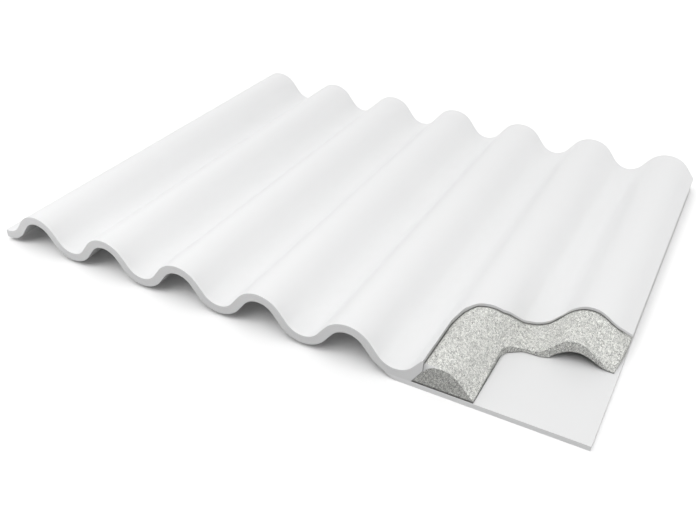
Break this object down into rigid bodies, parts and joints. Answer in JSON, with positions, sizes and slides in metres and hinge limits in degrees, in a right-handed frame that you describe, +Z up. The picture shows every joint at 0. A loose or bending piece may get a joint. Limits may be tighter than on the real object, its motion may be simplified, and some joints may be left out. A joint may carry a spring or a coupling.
{
  "type": "corrugated upvc roof sheet",
  "caption": "White corrugated plastic roof sheet sample, with a corner cut away in steps to show a speckled insulation core and a flat base sheet.",
  "frame": {"origin": "under the middle of the sample, on the plane of the base sheet's underside", "axes": "+X across the waves, away from the left edge and towards the cut-away corner; +Y along the waves, from the front edge to the far edge; +Z up"},
  "size_m": [1.0002, 0.754, 0.066],
  "materials": {
    "sheet_upvc": "satin white",
    "core_granules": "rough granular, pale grey with dark and white specks",
    "base_upvc": "satin white"
  },
  "bodies": {
    "root": {"corrugated_top_sheet": "sheet_upvc", "insulation_core": "core_granules", "flat_base_sheet": "base_upvc"}
  },
  "joints": []
}
